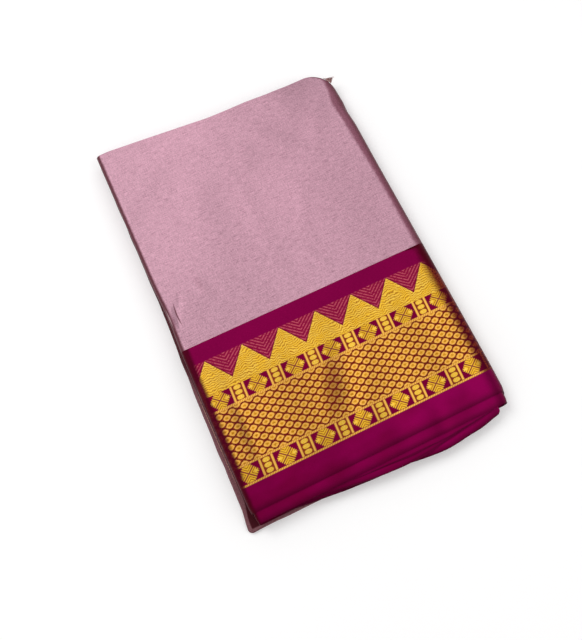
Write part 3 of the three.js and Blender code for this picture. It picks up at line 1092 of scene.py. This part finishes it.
def under_silk():
    """The silk of the folds that the pack lies on, painted mauve and darker than the lilac: partly
    the shot maroon, partly painted shade.
    """
    look = Look("under_silk", roughness=0.7, specular=0.04)
    x, y = look.cloth()
    out = look.mark("left_in")
    weave = plain_weave(x, y)
    slubs = past(look.noise(x, y, 3, 0.6, 3), 0.58, 0.08)
    speckle = look.noise(x, y, 1.3, 1.3, 7, 3)
    worn = slubs * 0.35 + (speckle - 0.5) * 1.2 + look.mark("tone") * 0.5
    colour = look.mix(share_of(worn), UNDER_SHADED, UNDER_DARK)
    # Painted deep shade beside the layers above and over the far half, and the pale stitches of a
    # leaf's edge along it.
    corner = before(y, -178, 12)
    beside = before(out + (speckle - 0.5) - corner * 3.6, 1.2, 0.6) * past(y, -195, 0.8)
    stitches = between(out, 1.4, 2.3, 0.25) * past(look.noise(x, y, 0.8, 1.2, 9), 0.5, 0.05)
    colour = look.mix(most(beside * 0.92, past(y, -44, 16) * 0.7), colour, UNDER_DEEP)
    colour = look.mix(stitches * between(y, -148, -64, 12) * 0.85, colour, UNDER_PALE)
    height = weave * 0.05 + speckle * 0.05
    return look.finish(colour, height)


def fray_silk():
    """Twisted loose threads."""
    look = Look("fray_silk", roughness=0.55, specular=0.2)
    x, y, z = look.place()
    twist = look.noise(x + z, y, 0.35, 0.8, 2)
    colour = look.mix(twist, FRAY_DARK, FRAY_PALE)
    return look.finish(colour, twist * 0.1)


def floor_paper():
    """Plain white paper, which glows a little, a painted light that keeps it white and its shadows
    faint.
    """
    look = Look("floor_paper", roughness=0.75, specular=0.2)
    look.put("Emission Color", (1, 1, 1, 1))
    look.put("Emission Strength", PAPER_GLOW)
    x, y, _ = look.place()
    grain = look.noise(x, y, 2, 2, 1)
    wide = look.noise(x, y, 220, 220, 2)
    colour = look.mix(share_of(grain * 0.3 + wide * 0.3), PAPER, PAPER_DULL)
    return look.finish(colour, grain * 0.05, bump=0.2)


# A direction that no thread runs in.
ASIDE = (0.31, 0.22, 0.92)


def tube(solid, route, radii, sides=4):
    """A thread of the given radii along a route of points."""
    route = np.asarray(route, float)
    steps = np.gradient(route, axis=0)
    steps /= np.linalg.norm(steps, axis=1)[:, None]
    side = np.cross(steps, ASIDE)
    side /= np.linalg.norm(side, axis=1)[:, None]
    up = np.cross(side, steps)
    first = solid.count
    turns = [2 * math.pi * k / sides for k in range(sides)]
    for place, a, b, radius in zip(route, side, up, radii):
        ring = [place + radius * (a * math.cos(t) + b * math.sin(t)) for t in turns]
        solid.add_points(ring, [(p[0], p[1]) for p in ring], [0.5] * sides)
    for r in range(len(route) - 1):
        for k in range(sides):
            j = (k + 1) % sides
            a, b = first + r * sides, first + (r + 1) * sides
            solid.faces.append((a + k, b + k, b + j, a + j))
    solid.faces.append(tuple(first + k for k in range(sides)))
    last = first + (len(route) - 1) * sides
    solid.faces.append(tuple(last + k for k in reversed(range(sides))))


FRAY_X = 132.0
# How far off the fold the roots lie.
FRAY_GAP = 0.4
# The strip that holds the roots: from and to along the fold, its rings, least and added radius.
FRAY_STRIP = {"from": -6.5, "to": 3.8, "rings": 14, "sides": 6, "least": 0.2, "more": 0.4}
# How far the threads' shared tip lies out from the fold, along it and up.
FRAY_TIP = (5.6, 1.0, 0.6)
FRAY_THREADS = {"number": 64, "spread": 8.6, "shift": -0.8, "radius": 0.19, "steps": 8}


def corner_fray():
    """Loose warp ends at the worn corner, rooted in a narrow strip along the fold."""
    solid = Solid()
    slope = float(far_edge(FRAY_X + 1) - far_edge(FRAY_X - 1)) / 2
    along = Vector((1, slope, 0)).normalized()
    out = Vector((-along.y, along.x, 0))
    root_y = float(far_edge(FRAY_X))
    height = float(settle(FRAY_X, root_y, PACK_TOP - WALL / 2))
    root = Vector((FRAY_X, root_y, height)) + out * FRAY_GAP
    up = Vector((0, 0, 1))

    rings = FRAY_STRIP["rings"]
    places = np.linspace(FRAY_STRIP["from"], FRAY_STRIP["to"], rings)
    strip = [root + along * t + out * (0.2 * math.sin(t * 1.3)) for t in places]
    swells = [math.sin(math.pi * (i + 0.5) / rings) for i in range(rings)]
    radii = [FRAY_STRIP["least"] + FRAY_STRIP["more"] * swell for swell in swells]
    tube(solid, strip, radii, sides=FRAY_STRIP["sides"])

    tip = root + out * FRAY_TIP[0] + along * FRAY_TIP[1] + up * FRAY_TIP[2]
    number, steps = FRAY_THREADS["number"], FRAY_THREADS["steps"]
    for n in range(number):
        share = n / (number - 1) - 0.5
        start = root + along * (share * FRAY_THREADS["spread"] + FRAY_THREADS["shift"])
        start += up * (0.45 * math.sin(n * 2.7))
        stray = along * math.sin(n * 2.1) + out * math.sin(n * 3.7) + up * math.sin(n * 1.3)
        # Every ninth thread stands out past the rest.
        reach = 0.5 + 0.5 * math.sin(n * 5.3) ** 2 if n % 9 else 1.25
        route, radii = [], []
        for k in range(steps + 1):
            t = k / steps
            middle = start.lerp(tip, t * reach) + out * (0.9 * t * (1 - t))
            route.append(middle + stray * (0.75 * t))
            radii.append(FRAY_THREADS["radius"] * (1 - 0.75 * t))
        tube(solid, route, radii)
    return solid


def aimed(place, target):
    """The matrix of a camera or light at a place that looks at a target, in metres."""
    turn = (target - place).to_track_quat("-Z", "Y").to_matrix().to_4x4()
    return Matrix.Translation(place) @ turn


def add_camera():
    data = bpy.data.cameras.new("camera")
    data.lens = CAMERA["lens"]
    data.sensor_width = CAMERA["sensor"]
    data.sensor_fit = "AUTO"
    camera = add_object("camera", data)
    roll = Matrix.Rotation(math.radians(CAMERA["roll"]), 4, "Z")
    camera.matrix_world = aimed(Vector(CAMERA["place"]) * MM, Vector(CAMERA["look"]) * MM) @ roll
    bpy.context.scene.camera = camera


def add_light(name, place, size, power):
    """A round soft light that faces the pack."""
    data = bpy.data.lights.new(name, "AREA")
    data.shape = "DISK"
    data.size = size
    data.energy = power
    add_object(name, data).matrix_world = aimed(Vector(place), Vector())


# Metres and watts.
KEY = {"place": (-0.65, 0.85, 1.45), "size": 1.1, "power": 12.0}
FILL = {"place": (0.9, -0.8, 1.3), "size": 1.4, "power": 5.5}
FLOOR_REACH = 2.4
ROOM_COLOUR = (1.0, 0.99, 0.985, 1.0)
ROOM_STRENGTH = 0.62


def add_stage():
    """The studio: an even pale room, two soft lights and the paper floor."""
    scene = bpy.context.scene
    scene.view_settings.view_transform = "Standard"
    world = bpy.data.worlds.new("studio")
    world.use_nodes = True
    background = world.node_tree.nodes["Background"]
    background.inputs["Color"].default_value = ROOM_COLOUR
    background.inputs["Strength"].default_value = ROOM_STRENGTH
    scene.world = world
    add_light("key", **KEY)
    add_light("fill", **FILL)
    mesh = bpy.data.meshes.new("floor")
    reach = FLOOR_REACH
    corners = [(-reach, -reach, 0), (reach, -reach, 0), (reach, reach, 0), (-reach, reach, 0)]
    mesh.from_pydata(corners, [], [(0, 1, 2, 3)])
    mesh.materials.append(floor_paper())
    add_object("floor", mesh)


add_camera()
add_stage()

FIELD = field_silk()
BORDER = border_silk()
BENEATH = under_silk()

FINE_ROWS = stations(under=10, arc=7, side=3, top=((0.1, 18), (0.9, 84), (1.0, 16)), spine=24)
COARSE_ROWS = stations(under=8, arc=6, side=3, top=((0.08, 10), (0.92, 70), (1.0, 12)), spine=20)


def past_seam(places):
    """1 where a face lies in the plain field, and 0 in the border."""
    return (places[:, 1] > SEAM_Y).astype(int)


field = turned_wall(
    OUTER, seam(1), far_fold(OUTER),
    cells=40, crowd=1.25, rows=FINE_ROWS, leaves=2, lip=0.9, stray_far=0.35,
)
field = field.piece("saree_field", [FIELD])
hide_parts("field_wrap")

border = turned_wall(
    OUTER, selvedge(OUTER), seam(-1),
    cells=34, crowd=1.25, rows=FINE_ROWS, leaves=3, lip=1.6, stray_near=0.5,
)
border = border.piece("saree_border", [BORDER])
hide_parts("border_wrap")

second = turned_wall(
    SECOND, selvedge(SECOND), far_fold(SECOND),
    cells=30, crowd=1.9, rows=COARSE_ROWS, leaves=3, lip=1.6, stray_near=0.6, stray_far=0.4,
)
second = second.piece("saree_second", [BORDER, FIELD], past_seam)
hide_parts("second_wrap")

FRAME_POINTS = outline(corner_steps=10, side_steps=70, end_steps=64)
inner = stacked_leaves(
    INNER_FOLDS, turn_left, INNER_BOTTOM, INNER_TOP, FRAME_POINTS, leaves=14, crevice=1.5, stray=1.0
)
inner = inner.piece("saree_inner", [BORDER, FIELD], past_seam)
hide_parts("inner_folds")

base = stacked_leaves(
    BASE_FOLDS, base_left, 0.0, BASE_TOP, FRAME_POINTS, leaves=12, crevice=1.3, stray=0.7
)
base = base.piece("saree_base", [BENEATH])
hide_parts("base_folds")

fray = corner_fray().piece("saree_fray", [fray_silk()])
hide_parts("corner_fray")
